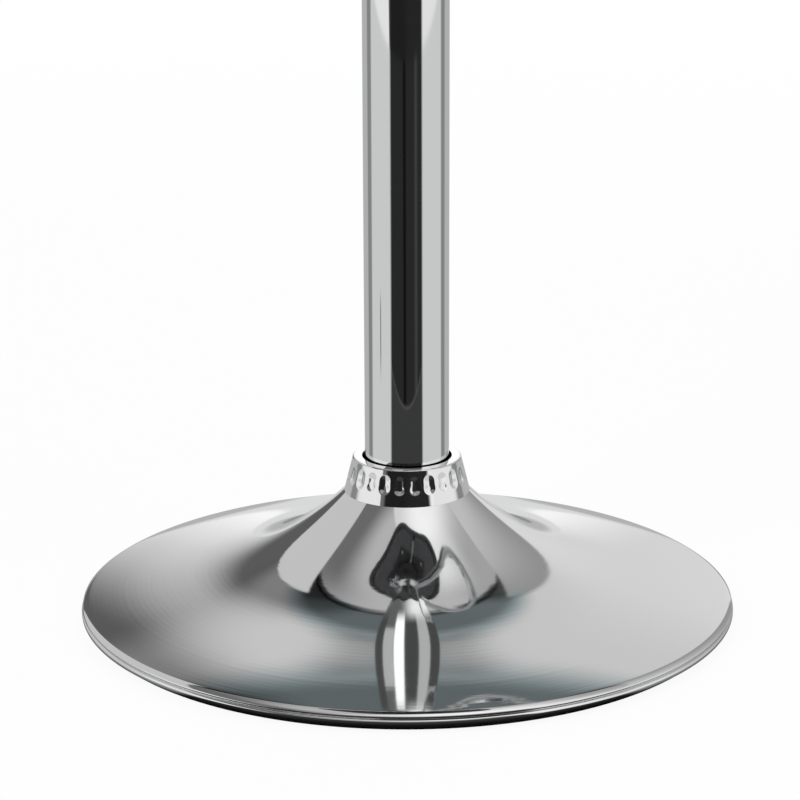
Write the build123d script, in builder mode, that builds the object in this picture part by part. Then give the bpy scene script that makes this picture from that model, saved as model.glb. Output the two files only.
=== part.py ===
"""A gas-lift kitchen stool: trumpet base, chrome column, footrest hoop and padded square seat.

Millimetres, +Z up. The origin is on the floor at the column's axis, the footrest points to +X
and the release lever to -Y. The seat stands at the top of its lift.
"""
import os
from math import cos, radians, sin, tan

from build123d import *

# Height of the seat's crown above the floor when raised
seat_height = 821.3

# Clearances
running_gap = 0.06
seat_gap = 0.05
free_gap = 0.3

# Trumpet base: a pressed shell with a rolled rim
base_radius = 195.0
shell_wall = 1.2
neck_radius = 37.3
neck_height = 75.0
neck_slope = 45.8
rim_slope = 17.0
neck_lip = 6.0
rim_inset = 2.7
rim_height = 11.4
shoulder_drop = 1.6
shoulder_inset = 0.7
groove_depth = 0.9
bead_radius = 1.9
hem_width = 9.0

# The flare's line from neck to rim, as shares of its run outwards and of its rise above the rim
flare_shares = [
    (0.0497, 0.8835),
    (0.1142, 0.7519),
    (0.1852, 0.6247),
    (0.2626, 0.5048),
    (0.3400, 0.4072),
    (0.4174, 0.3319),
    (0.4948, 0.2754),
    (0.5981, 0.2199),
    (0.7400, 0.1539),
    (0.8819, 0.0784),
]
skin_shares = [0.99, 0.92, 0.83, 0.74, 0.65, 0.56, 0.47, 0.38, 0.29, 0.20, 0.10, 0.0]

# Rubber ring, bottom plate and ballast under the shell
ring_height = 4.2
ring_width = 11.0
ring_toe_in = 4.7
plate_thickness = 3.0
plate_rim_gap = 5.0
plate_hole_radius = 27.0
ballast_outer = 150.0
ballast_inner = 60.0
ballast_thickness = 6.0
ballast_screw_radius = 105.0
ballast_screw_count = 3
base_screw_radius = 3.0
base_head_radius = 5.5
base_head_height = 2.8

# Tapered socket that holds the column
hub_radius = 29.0
hub_flange_radius = 52.0
hub_flange_thickness = 4.0
hub_top = 85.0
hub_screw_radius = 42.0
hub_screw_count = 4

# Column tube of the gas lift
column_radius = 25.0
column_wall = 2.0
column_foot = 14.0
column_taper_top = 84.0
column_taper = 1.3
end_plate_thickness = 5.0

# Trim collar round the column's foot
collar_height = 21.0
collar_lean = 5.2
collar_wall = 2.0
collar_bore = 26.7
collar_edge_fillet = 0.8
dimple_count = 24
dimple_width = 6.4
dimple_height = 11.4
dimple_depth = 0.8
dimple_share = 0.59

# Guide bush in the column's mouth
bush_flange = 6.0
bush_length = 90.0
bush_chamfer = 1.2

# Gas spring
cylinder_radius = 14.0
cylinder_wall = 2.0
cylinder_taper = 1.0
cylinder_neck = 6.0
cylinder_foot_lowered = 62.0
stroke = 225.0
rod_radius = 5.0
rod_neck_radius = 4.0
rod_tail = 4.5
rod_guide_length = 18.0
piston_length = 14.0
piston_nut_height = 5.0
piston_nut_width = 13.0
valve_length = 60.0
pin_radius = 3.5
pin_length = 58.0
pin_stand = 6.0
clip_radius = 7.5
clip_thickness = 1.5

# Thrust bearing and bumper at the rod's foot
race_radius = 13.0
race_thickness = 2.0
ball_radius = 2.0
ball_count = 8
ball_ring_radius = 9.0
bumper_radius = 11.0

# Footrest
footrest_drop = 28.0
hoop_tube_radius = 9.5
hoop_tube_wall = 1.5
hoop_corner_reach = 209.0
hoop_half_angle = 35.7
hoop_front_reach = 176.0
hoop_corner_bend = 45.0
hoop_front_bend = 400.0
clamp_height = 36.0
clamp_wall = 3.9
clamp_slit = 5.0
clamp_ear_length = 17.0
clamp_ear_thickness = 6.0
clamp_screw_radius = 3.0
clamp_screw_pitch = 18.0
clamp_head_radius = 5.0
clamp_head_height = 6.0
clamp_key_width = 5.0
clamp_key_depth = 3.0
clamp_nut_width = 10.0
clamp_nut_height = 5.0

# Seat plate with its dish and taper socket
lowered_gap = 19.0
socket_radius = 21.0
socket_length = 40.0
plate_wall = 2.5
dish_depth = 28.5
dish_floor_radius = 48.0
dish_mouth_radius = 62.0
seat_plate_width = 170.0
seat_plate_corner = 20.0
seat_bolt_pitch = 132.0
seat_bolt_radius = 3.0
seat_bolt_head_width = 10.0
seat_bolt_head_height = 4.0
bolt_hole_gap = 0.3

# Release lever, its bracket and pivot
lever_radius = 4.0
lever_pivot_arm = 26.0
lever_inner_end = 5.0
lever_shoulder = 66.0
lever_drop = 18.3
lever_drop_run = 26.0
lever_reach = 162.0
lever_bend = 15.0
lever_eye_radius = 6.5
lever_eye_width = 10.0
pivot_radius = 2.5
bracket_wall = 3.0
bracket_depth = 14.0
bracket_head = 6.0
slot_width = 13.0
slot_drop = 8.0
slot_margin = 10.0
knob_radius = 8.0
knob_length = 44.0
knob_overhang = 10.0
knob_tip_fillet = 5.6
knob_root_fillet = 2.4

# Padded seat
seat_width = 365.0
seat_corner = 100.0
cover_wall = 1.5
cover_turn_in = 28.0
board_thickness = 12.0
dust_thickness = 0.8
dust_inset = 30.0
cushion_height = 72.0
cushion_bulge = 5.0
cushion_edge = 16.0
crown_radius = 900.0
board_gap = 0.25
tee_barrel_radius = 4.4
tee_barrel_length = 9.0
tee_flange_radius = 9.0
tee_flange_thickness = 1.5

# Heights that follow from the sizes above, from the seat's crown down and from the floor up
board_bottom = seat_height - cushion_height
board_top = board_bottom + board_thickness
seat_plate_top = board_bottom - dust_thickness
dish_floor = seat_plate_top - dish_depth
socket_bottom = dish_floor - socket_length
column_top = socket_bottom - stroke - lowered_gap - bush_flange
plate_bottom = ring_height + shell_wall
plate_top = plate_bottom + plate_thickness
cylinder_foot = cylinder_foot_lowered + stroke
cylinder_top = dish_floor + cylinder_neck
pin_top = cylinder_top + pin_stand
lever_height = pin_top + free_gap + lever_radius
end_plate_top = column_foot + end_plate_thickness
balls_height = end_plate_top + race_thickness + seat_gap + ball_radius
upper_race_bottom = balls_height + ball_radius + seat_gap
upper_race_top = upper_race_bottom + race_thickness
piston_bottom = cylinder_foot + rod_guide_length + free_gap
piston_top = piston_bottom + piston_length
cylinder_bore = cylinder_radius - cylinder_wall

os.makedirs("parts", exist_ok=True)


def taper_radius(height):
    """The column's outer radius at a height on its tapered foot."""
    share = (column_taper_top - height) / (column_taper_top - column_foot)
    return column_radius - column_taper * share


def socket_taper(height):
    """The gas cylinder's outer radius at a height in the seat's taper socket."""
    share = (height - socket_bottom) / socket_length
    return cylinder_radius - cylinder_taper * share


def neck_surface(radius):
    """Height of the shell's outer neck cone at a radius."""
    return neck_height + (neck_radius - radius) * tan(radians(neck_slope))


# Pressed trumpet shell: neck lip, flare, shoulder, groove and rolled bead
rim_radius = base_radius - rim_inset
lip_radius = hub_radius + seat_gap + shell_wall
lip_bottom = neck_surface(lip_radius)
lip_inner = lip_radius - shell_wall
lip_inner_bottom = neck_surface(lip_inner) - shell_wall / cos(radians(neck_slope))
flare_run = rim_radius - neck_radius
flare_rise = neck_height - rim_height
flare_points = [(neck_radius + out * flare_run, rim_height + up * flare_rise) for out, up in flare_shares]
neck_tangent = (cos(radians(neck_slope)), -sin(radians(neck_slope)))
rim_tangent = (cos(radians(rim_slope)), -sin(radians(rim_slope)))
groove_height = ring_height + 2 * bead_radius
bead_top = (base_radius - shoulder_inset - groove_depth, groove_height)
bead_side = (base_radius, ring_height + bead_radius)
bead_foot = (base_radius - bead_radius, ring_height)
with BuildPart() as base_shell:
    with BuildSketch(Plane.XZ):
        with BuildLine():
            Line((lip_radius, lip_bottom), (neck_radius, neck_height))
            flare = Spline(
                (neck_radius, neck_height), *flare_points, (rim_radius, rim_height),
                tangents=[neck_tangent, rim_tangent],
            )
            Polyline(
                (rim_radius, rim_height),
                (base_radius - shoulder_inset, rim_height - shoulder_drop),
                (base_radius - shoulder_inset, groove_height + groove_depth),
                bead_top,
            )
            ThreePointArc(bead_top, bead_side, bead_foot)
            skin_points = []
            for share in skin_shares:
                along = flare % share
                skin_points.append(flare @ share + Vector(along.Y, -along.X) * shell_wall)
            Polyline(
                bead_foot,
                (base_radius - hem_width, ring_height),
                (base_radius - hem_width, plate_bottom),
                (rim_radius - shell_wall, plate_bottom),
                skin_points[0],
            )
            Spline(*skin_points)
            Polyline(
                skin_points[-1],
                (lip_inner, lip_inner_bottom),
                (lip_inner, lip_bottom + neck_lip),
                (lip_radius, lip_bottom + neck_lip),
                (lip_radius, lip_bottom),
            )
        make_face()
    revolve(axis=Axis.Z)
base_shell.part.label = "base_shell"
export_step(base_shell.part, "parts/base_shell.step")

# Rubber ring that the rolled rim stands on
ring_top_radius = base_radius - bead_radius
with BuildPart() as floor_ring:
    with BuildSketch(Plane.XZ):
        with BuildLine():
            Polyline(
                (ring_top_radius - ring_width, 0),
                (ring_top_radius - ring_toe_in, 0),
                (ring_top_radius, ring_height),
                (ring_top_radius - ring_width, ring_height),
                close=True,
            )
        make_face()
    revolve(axis=Axis.Z)
floor_ring.part.label = "floor_ring"
export_step(floor_ring.part, "parts/floor_ring.step")

# Bottom plate of black steel, resting on the shell's hem
with BuildPart() as bottom_plate:
    with BuildSketch(Plane.XY.offset(plate_bottom)):
        Circle(base_radius - plate_rim_gap)
        Circle(plate_hole_radius, mode=Mode.SUBTRACT)
        with PolarLocations(hub_screw_radius, hub_screw_count):
            Circle(base_screw_radius + bolt_hole_gap, mode=Mode.SUBTRACT)
        with PolarLocations(ballast_screw_radius, ballast_screw_count):
            Circle(base_screw_radius + bolt_hole_gap, mode=Mode.SUBTRACT)
    extrude(amount=plate_thickness)
bottom_plate.part.label = "bottom_plate"
export_step(bottom_plate.part, "parts/bottom_plate.step")

# Cast ballast ring on the bottom plate
with BuildPart() as ballast_ring:
    with BuildSketch(Plane.XY.offset(plate_top)):
        Circle(ballast_outer)
        Circle(ballast_inner, mode=Mode.SUBTRACT)
        with PolarLocations(ballast_screw_radius, ballast_screw_count):
            Circle(base_screw_radius + seat_gap, mode=Mode.SUBTRACT)
    extrude(amount=ballast_thickness)
ballast_ring.part.label = "ballast_ring"
export_step(ballast_ring.part, "parts/ballast_ring.step")

# Tapered socket with a screwed-down flange, inside the neck
hub_flange_top = plate_top + hub_flange_thickness
with BuildPart() as hub_socket:
    with BuildSketch(Plane.XZ):
        with BuildLine():
            Polyline(
                (taper_radius(plate_top) + seat_gap, plate_top),
                (hub_flange_radius, plate_top),
                (hub_flange_radius, hub_flange_top),
                (hub_radius, hub_flange_top),
                (hub_radius, hub_top),
                (taper_radius(hub_top) + seat_gap, hub_top),
                close=True,
            )
        make_face()
    revolve(axis=Axis.Z)
    with BuildSketch(Plane.XY.offset(plate_top)):
        with PolarLocations(hub_screw_radius, hub_screw_count):
            Circle(base_screw_radius + seat_gap)
    extrude(amount=hub_flange_thickness, mode=Mode.SUBTRACT)
hub_socket.part.label = "hub_socket"
export_step(hub_socket.part, "parts/hub_socket.step")


def screw_ring(circle_radius, count, radius):
    """Discs on a circle in the bottom plate's underside, one for each screw."""
    with BuildSketch(Plane.XY.offset(plate_bottom)) as discs:
        with PolarLocations(circle_radius, count):
            Circle(radius)
    return discs.sketch


# Pan-head screws from below, with their heads on the bottom plate's underside
with BuildPart() as hub_screws:
    extrude(screw_ring(hub_screw_radius, hub_screw_count, base_head_radius), amount=-base_head_height)
    hub_screw_depth = plate_thickness + hub_flange_thickness
    extrude(screw_ring(hub_screw_radius, hub_screw_count, base_screw_radius), amount=hub_screw_depth)
hub_screws.part.label = "hub_screws"
export_step(hub_screws.part, "parts/hub_screws.step")

with BuildPart() as ballast_screws:
    ballast_heads = screw_ring(ballast_screw_radius, ballast_screw_count, base_head_radius)
    extrude(ballast_heads, amount=-base_head_height)
    ballast_shanks = screw_ring(ballast_screw_radius, ballast_screw_count, base_screw_radius)
    extrude(ballast_shanks, amount=plate_thickness + ballast_thickness)
ballast_screws.part.label = "ballast_screws"
export_step(ballast_screws.part, "parts/ballast_screws.step")

# Chrome column tube with a tapered foot
with BuildPart() as column_tube:
    with BuildSketch(Plane.XZ):
        with BuildLine():
            Polyline(
                (taper_radius(column_foot), column_foot),
                (column_radius, column_taper_top),
                (column_radius, column_top),
                (column_radius - column_wall, column_top),
                (column_radius - column_wall, column_taper_top),
                (taper_radius(column_foot) - column_wall, column_foot),
                close=True,
            )
        make_face()
    revolve(axis=Axis.Z)
column_tube.part.label = "column_tube"
export_step(column_tube.part, "parts/column_tube.step")

# Plate welded into the column's foot, which carries the thrust bearing
end_plate_radius = taper_radius(column_foot) - column_wall - seat_gap
with BuildPart() as column_end_plate:
    with BuildSketch(Plane.XY.offset(column_foot)):
        Circle(end_plate_radius)
        Circle(rod_neck_radius + running_gap, mode=Mode.SUBTRACT)
    extrude(amount=end_plate_thickness)
column_end_plate.part.label = "column_end_plate"
export_step(column_end_plate.part, "parts/column_end_plate.step")

# Conical trim collar with oval dimples, seated on the shell's neck
collar_top = neck_height + collar_height
collar_top_radius = neck_radius - collar_lean
collar_foot_inner = neck_radius - collar_wall
collar_lip_radius = collar_top_radius - collar_wall
dimple_radius = neck_radius - collar_lean * dimple_share
collar_face = Vector(collar_height, 0, collar_lean).normalized()
dimple_centre = Vector(dimple_radius, 0, neck_height + collar_height * dimple_share)
dimple_plane = Plane(origin=dimple_centre, x_dir=(0, 1, 0), z_dir=collar_face)
with BuildPart() as dimple:
    with BuildSketch(dimple_plane.offset(-dimple_depth)):
        SlotOverall(dimple_height, dimple_width, rotation=90)
    extrude(amount=2 * dimple_depth)

with BuildPart() as trim_collar:
    with BuildSketch(Plane.XZ):
        with BuildLine():
            Polyline(
                (neck_radius, neck_height + seat_gap),
                (collar_top_radius, collar_top),
                (collar_bore, collar_top),
                (collar_bore, collar_top - collar_wall),
                (collar_lip_radius, collar_top - collar_wall),
                (collar_foot_inner, neck_surface(collar_foot_inner) + seat_gap),
                close=True,
            )
        make_face()
    revolve(axis=Axis.Z)
    fillet(trim_collar.edges().group_by(Axis.Z)[-1], collar_edge_fillet)
    with PolarLocations(0, dimple_count):
        add(dimple.part, mode=Mode.SUBTRACT)
trim_collar.part.label = "trim_collar"
export_step(trim_collar.part, "parts/trim_collar.step")

# Black plastic guide bush with a flange on the column's mouth
bush_bore = cylinder_radius + running_gap
with BuildPart() as guide_bush:
    with BuildSketch(Plane.XY.offset(column_top)):
        Circle(column_radius)
    extrude(amount=bush_flange)
    chamfer(guide_bush.edges().group_by(Axis.Z)[-1], bush_chamfer)
    with BuildSketch(Plane.XY.offset(column_top)):
        Circle(column_radius - column_wall - seat_gap)
    extrude(amount=-bush_length)
    with BuildSketch(Plane.XY.offset(column_top - bush_length)):
        Circle(bush_bore)
    extrude(amount=bush_length + bush_flange, mode=Mode.SUBTRACT)
guide_bush.part.label = "guide_bush"
export_step(guide_bush.part, "parts/guide_bush.step")


def ring_face(height, outer, bore):
    """A flat ring on the stool's axis."""
    with BuildSketch(Plane.XY.offset(height)) as ring:
        Circle(outer)
        Circle(bore, mode=Mode.SUBTRACT)
    return ring.sketch


# Thrust bearing: lower race on the end plate, balls, upper race under the rod's shoulder
with BuildPart() as thrust_race_lower:
    extrude(ring_face(end_plate_top, race_radius, rod_neck_radius + free_gap), amount=race_thickness)
thrust_race_lower.part.label = "thrust_race_lower"
export_step(thrust_race_lower.part, "parts/thrust_race_lower.step")

with BuildPart() as thrust_balls:
    with Locations((0, 0, balls_height)):
        with PolarLocations(ball_ring_radius, ball_count):
            Sphere(ball_radius)
thrust_balls.part.label = "thrust_balls"
export_step(thrust_balls.part, "parts/thrust_balls.step")

with BuildPart() as thrust_race_upper:
    upper_race = ring_face(upper_race_bottom, race_radius, rod_neck_radius + seat_gap)
    extrude(upper_race, amount=race_thickness)
thrust_race_upper.part.label = "thrust_race_upper"
export_step(thrust_race_upper.part, "parts/thrust_race_upper.step")

# Rubber bumper that the gas cylinder comes down on
bumper_length = cylinder_foot_lowered - free_gap - upper_race_top
with BuildPart() as bumper:
    extrude(ring_face(upper_race_top, bumper_radius, rod_radius + seat_gap), amount=bumper_length)
bumper.part.label = "bumper"
export_step(bumper.part, "parts/bumper.step")

# Piston rod with a thinner neck through the bearing and the end plate
rod_foot = column_foot - rod_tail
with BuildPart() as piston_rod:
    with BuildSketch(Plane.XZ):
        with BuildLine():
            Polyline(
                (0, rod_foot),
                (rod_neck_radius, rod_foot),
                (rod_neck_radius, upper_race_top),
                (rod_radius, upper_race_top),
                (rod_radius, piston_top + piston_nut_height),
                (0, piston_top + piston_nut_height),
                close=True,
            )
        make_face()
    revolve(axis=Axis.Z)
piston_rod.part.label = "piston_rod"
export_step(piston_rod.part, "parts/piston_rod.step")

# Spring clip under the end plate, on the rod's neck
with BuildPart() as rod_clip:
    clip_top = column_foot - free_gap
    extrude(ring_face(clip_top, clip_radius, rod_neck_radius + seat_gap), amount=-clip_thickness)
rod_clip.part.label = "rod_clip"
export_step(rod_clip.part, "parts/rod_clip.step")

# Piston and its nut at the rod's upper end
with BuildPart() as piston:
    piston_face = ring_face(piston_bottom, cylinder_bore - running_gap, rod_radius + seat_gap)
    extrude(piston_face, amount=piston_length)
piston.part.label = "piston"
export_step(piston.part, "parts/piston.step")

with BuildPart() as piston_nut:
    with BuildSketch(Plane.XY.offset(piston_top)):
        RegularPolygon(piston_nut_width / 2, 6, major_radius=False)
        Circle(rod_radius + seat_gap, mode=Mode.SUBTRACT)
    extrude(amount=piston_nut_height)
piston_nut.part.label = "piston_nut"
export_step(piston_nut.part, "parts/piston_nut.step")

# Gas cylinder with a tapered top
with BuildPart() as gas_cylinder:
    with BuildSketch(Plane.XZ):
        with BuildLine():
            Polyline(
                (cylinder_bore, cylinder_foot),
                (cylinder_radius, cylinder_foot),
                (cylinder_radius, socket_bottom),
                (cylinder_radius - cylinder_taper, dish_floor),
                (cylinder_radius - cylinder_taper, cylinder_top),
                (cylinder_bore - cylinder_taper, cylinder_top),
                (cylinder_bore - cylinder_taper, dish_floor),
                (cylinder_bore, socket_bottom),
                close=True,
            )
        make_face()
    revolve(axis=Axis.Z)
gas_cylinder.part.label = "gas_cylinder"
export_step(gas_cylinder.part, "parts/gas_cylinder.step")

# Rod guide and seal in the cylinder's foot
with BuildPart() as rod_guide:
    guide_face = ring_face(cylinder_foot, cylinder_bore - seat_gap, rod_radius + running_gap)
    extrude(guide_face, amount=rod_guide_length)
rod_guide.part.label = "rod_guide"
export_step(rod_guide.part, "parts/rod_guide.step")

# Valve block in the cylinder's top, bored for the release pin
valve_radius = cylinder_bore - cylinder_taper - seat_gap
with BuildPart() as valve_block:
    extrude(ring_face(cylinder_top, valve_radius, pin_radius + running_gap), amount=-valve_length)
valve_block.part.label = "valve_block"
export_step(valve_block.part, "parts/valve_block.step")

# Release pin with a domed head
with BuildPart() as release_pin:
    with BuildSketch(Plane.XZ):
        with BuildLine():
            Polyline(
                (pin_radius, pin_top - pin_radius),
                (pin_radius, pin_top - pin_length),
                (0, pin_top - pin_length),
                (0, pin_top),
            )
            RadiusArc((0, pin_top), (pin_radius, pin_top - pin_radius), pin_radius)
        make_face()
    revolve(axis=Axis.Z)
release_pin.part.label = "release_pin"
export_step(release_pin.part, "parts/release_pin.step")

# Split clamp of the footrest, with two ears behind the column
footrest_height = column_top - footrest_drop
clamp_bore = column_radius + seat_gap
clamp_radius = clamp_bore + clamp_wall
clamp_bottom = footrest_height - clamp_height / 2
ear_end = clamp_radius + clamp_ear_length
ear_middle = clamp_ear_length / 2 - ear_end
ear_side = clamp_slit / 2 + clamp_ear_thickness
with BuildPart() as footrest_clamp:
    with BuildSketch(Plane.XY.offset(clamp_bottom)):
        Circle(clamp_radius)
        with Locations((ear_middle + clamp_wall / 2, 0)):
            Rectangle(clamp_ear_length + clamp_wall, 2 * ear_side)
        Circle(clamp_bore, mode=Mode.SUBTRACT)
        with Locations((-ear_end / 2, 0)):
            Rectangle(ear_end, clamp_slit, mode=Mode.SUBTRACT)
    extrude(amount=clamp_height)
    with BuildSketch(Plane.XZ.offset(-ear_side)):
        with Locations((ear_middle, footrest_height)):
            with GridLocations(0, clamp_screw_pitch, 1, 2):
                Circle(clamp_screw_radius + bolt_hole_gap)
    extrude(amount=2 * ear_side, mode=Mode.SUBTRACT)
footrest_clamp.part.label = "footrest_clamp"
export_step(footrest_clamp.part, "parts/footrest_clamp.step")

# Socket-head clamp screws and their nuts
with BuildPart() as clamp_screws:
    with BuildSketch(Plane.XZ.offset(ear_side)):
        with Locations((ear_middle, footrest_height)):
            with GridLocations(0, clamp_screw_pitch, 1, 2):
                Circle(clamp_head_radius)
    extrude(amount=clamp_head_height)
    with BuildSketch(Plane.XZ.offset(ear_side)):
        with Locations((ear_middle, footrest_height)):
            with GridLocations(0, clamp_screw_pitch, 1, 2):
                Circle(clamp_screw_radius)
    extrude(amount=-(2 * ear_side + clamp_nut_height))
    with BuildSketch(Plane.XZ.offset(ear_side + clamp_head_height)):
        with Locations((ear_middle, footrest_height)):
            with GridLocations(0, clamp_screw_pitch, 1, 2):
                RegularPolygon(clamp_key_width / 2, 6, major_radius=False)
    extrude(amount=-clamp_key_depth, mode=Mode.SUBTRACT)
clamp_screws.part.label = "clamp_screws"
export_step(clamp_screws.part, "parts/clamp_screws.step")

with BuildPart() as clamp_nuts:
    with BuildSketch(Plane.XZ.offset(-ear_side)):
        with Locations((ear_middle, footrest_height)):
            with GridLocations(0, clamp_screw_pitch, 1, 2):
                RegularPolygon(clamp_nut_width / 2, 6, major_radius=False)
                Circle(clamp_screw_radius + seat_gap, mode=Mode.SUBTRACT)
    extrude(amount=-clamp_nut_height)
clamp_nuts.part.label = "clamp_nuts"
export_step(clamp_nuts.part, "parts/clamp_nuts.step")

# Footrest hoop: one bent tube, welded to the clamp at both ends
arm_x = cos(radians(hoop_half_angle))
arm_y = sin(radians(hoop_half_angle))
with BuildPart() as footrest_hoop:
    with BuildLine(Plane.XY.offset(footrest_height)) as hoop_path:
        FilletPolyline(
            (column_radius * arm_x, column_radius * arm_y),
            (hoop_corner_reach * arm_x, hoop_corner_reach * arm_y),
            (hoop_front_reach, 0),
            (hoop_corner_reach * arm_x, -hoop_corner_reach * arm_y),
            (column_radius * arm_x, -column_radius * arm_y),
            radius=[hoop_corner_bend, hoop_front_bend, hoop_corner_bend],
        )
    with BuildSketch(Plane(origin=hoop_path.wire() @ 0, z_dir=hoop_path.wire() % 0)):
        Circle(hoop_tube_radius)
        Circle(hoop_tube_radius - hoop_tube_wall, mode=Mode.SUBTRACT)
    sweep()
    with BuildSketch(Plane.XY.offset(clamp_bottom)):
        Circle(clamp_radius + seat_gap)
    extrude(amount=clamp_height, mode=Mode.SUBTRACT)
footrest_hoop.part.label = "footrest_hoop"
export_step(footrest_hoop.part, "parts/footrest_hoop.step")

# Taper socket welded under the seat plate's dish
with BuildPart() as taper_socket:
    with BuildSketch(Plane.XZ):
        with BuildLine():
            Polyline(
                (socket_taper(socket_bottom) + seat_gap, socket_bottom),
                (socket_radius, socket_bottom),
                (socket_radius, dish_floor),
                (socket_taper(dish_floor) + seat_gap, dish_floor),
                close=True,
            )
        make_face()
    revolve(axis=Axis.Z)
taper_socket.part.label = "taper_socket"
export_step(taper_socket.part, "parts/taper_socket.step")

# Stamped seat plate: square flange with a round dish, slotted for the lever
flange_bottom = seat_plate_top - plate_wall
with BuildPart() as seat_plate:
    with BuildSketch(Plane.XY.offset(flange_bottom)):
        RectangleRounded(seat_plate_width, seat_plate_width, seat_plate_corner)
        Circle(dish_mouth_radius - plate_wall, mode=Mode.SUBTRACT)
        with GridLocations(seat_bolt_pitch, seat_bolt_pitch, 2, 2):
            Circle(seat_bolt_radius + bolt_hole_gap, mode=Mode.SUBTRACT)
    extrude(amount=plate_wall)
    with BuildSketch(Plane.XZ):
        with BuildLine():
            Polyline(
                (cylinder_radius, dish_floor),
                (dish_floor_radius, dish_floor),
                (dish_mouth_radius, flange_bottom),
                (dish_mouth_radius, seat_plate_top),
                (dish_mouth_radius - plate_wall, seat_plate_top),
                (dish_floor_radius - plate_wall, dish_floor + plate_wall),
                (cylinder_radius, dish_floor + plate_wall),
                close=True,
            )
        make_face()
    revolve(axis=Axis.Z)
    slot_bottom = lever_height - slot_drop
    with BuildSketch(Plane.XZ.offset(dish_floor_radius - slot_margin)):
        with Locations((0, (slot_bottom + flange_bottom) / 2)):
            Rectangle(slot_width, flange_bottom - slot_bottom)
    slot_run = dish_mouth_radius - dish_floor_radius + 2 * slot_margin
    extrude(amount=slot_run, mode=Mode.SUBTRACT)
seat_plate.part.label = "seat_plate"
export_step(seat_plate.part, "parts/seat_plate.step")

# Forked bracket for the lever's pivot, welded to the dish floor
bracket_floor = dish_floor + plate_wall
bracket_gap = lever_eye_width + 2 * free_gap
bracket_height = lever_height + bracket_head - bracket_floor
with BuildPart() as lever_bracket:
    with BuildSketch(Plane.XY.offset(bracket_floor)):
        with Locations((0, -lever_pivot_arm)):
            with GridLocations(bracket_gap + bracket_wall, 0, 2, 1):
                Rectangle(bracket_wall, bracket_depth)
    extrude(amount=bracket_height)
    with BuildSketch(Plane.YZ.offset(-bracket_gap)):
        with Locations((-lever_pivot_arm, lever_height)):
            Circle(pivot_radius + seat_gap)
    extrude(amount=2 * bracket_gap, mode=Mode.SUBTRACT)
lever_bracket.part.label = "lever_bracket"
export_step(lever_bracket.part, "parts/lever_bracket.step")

pivot_length = bracket_gap + 2 * bracket_wall
with BuildPart() as lever_pivot:
    with BuildSketch(Plane.YZ.offset(-pivot_length / 2)):
        with Locations((-lever_pivot_arm, lever_height)):
            Circle(pivot_radius)
    extrude(amount=pivot_length)
lever_pivot.part.label = "lever_pivot"
export_step(lever_pivot.part, "parts/lever_pivot.step")

# Release lever: a bent rod with an eye round the pivot
handle_height = lever_height - lever_drop
with BuildPart() as release_lever:
    with BuildLine(Plane.YZ) as lever_path:
        FilletPolyline(
            (lever_inner_end, lever_height),
            (-lever_shoulder, lever_height),
            (-lever_shoulder - lever_drop_run, handle_height),
            (-lever_reach, handle_height),
            radius=lever_bend,
        )
    with BuildSketch(Plane.XZ.offset(-lever_inner_end)):
        with Locations((0, lever_height)):
            Circle(lever_radius)
    sweep(path=lever_path.wire())
    with BuildSketch(Plane.YZ.offset(-lever_eye_width / 2)):
        with Locations((-lever_pivot_arm, lever_height)):
            Circle(lever_eye_radius)
    extrude(amount=lever_eye_width)
    with BuildSketch(Plane.YZ.offset(-lever_eye_width / 2)):
        with Locations((-lever_pivot_arm, lever_height)):
            Circle(pivot_radius + running_gap)
    extrude(amount=lever_eye_width, mode=Mode.SUBTRACT)
release_lever.part.label = "release_lever"
export_step(release_lever.part, "parts/release_lever.step")

# Plastic knob pushed on the lever's end
knob_tip = lever_reach + knob_overhang
knob_root = knob_tip - knob_length
with BuildPart() as lever_knob:
    with BuildSketch(Plane.XZ.offset(knob_root)):
        with Locations((0, handle_height)):
            Circle(knob_radius)
    extrude(amount=knob_length)
    fillet(lever_knob.edges().sort_by(Axis.Y)[0], knob_tip_fillet)
    fillet(lever_knob.edges().sort_by(Axis.Y)[-1], knob_root_fillet)
    with BuildSketch(Plane.XZ.offset(knob_root)):
        with Locations((0, handle_height)):
            Circle(lever_radius + seat_gap)
    extrude(amount=lever_reach - knob_root + seat_gap, mode=Mode.SUBTRACT)
lever_knob.part.label = "lever_knob"
export_step(lever_knob.part, "parts/lever_knob.step")


def seat_section(height, inset):
    """One rounded-square section of the seat, drawn in all round from its full width."""
    width = seat_width - 2 * inset
    with BuildSketch(Plane.XY.offset(height)) as section:
        RectangleRounded(width, width, seat_corner * width / seat_width)
    return section.sketch


def cushion(skin):
    """The seat's soft form above its foot, smaller by a skin: swelling sides under a domed top."""
    side_sections = [
        seat_section(0, cushion_bulge + skin),
        seat_section(cushion_height / 2, skin),
        seat_section(cushion_height, cushion_bulge + skin),
    ]
    with BuildPart() as form:
        loft(side_sections)
        with Locations((0, 0, cushion_height - crown_radius)):
            Sphere(crown_radius - skin, mode=Mode.INTERSECT)
        dome = form.faces().sort_by(Axis.Z)[-1]
        fillet(dome.edges(), cushion_edge - skin)
    return form.part


with BuildPart() as seat_cover:
    with Locations((0, 0, board_bottom)):
        add(cushion(0))
        add(cushion(cover_wall), mode=Mode.SUBTRACT)
    extrude(seat_section(board_bottom, cushion_bulge), amount=-cover_wall)
    turn_in_edge = seat_section(board_bottom, cover_turn_in)
    extrude(turn_in_edge, amount=-cover_wall, mode=Mode.SUBTRACT)
seat_cover.part.label = "seat_cover"
export_step(seat_cover.part, "parts/seat_cover.step")

with BuildPart() as seat_foam:
    with Locations((0, 0, board_bottom)):
        add(cushion(cover_wall + seat_gap))
    split(bisect_by=Plane.XY.offset(board_top), keep=Keep.TOP)
seat_foam.part.label = "seat_foam"
export_step(seat_foam.part, "parts/seat_foam.step")

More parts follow.
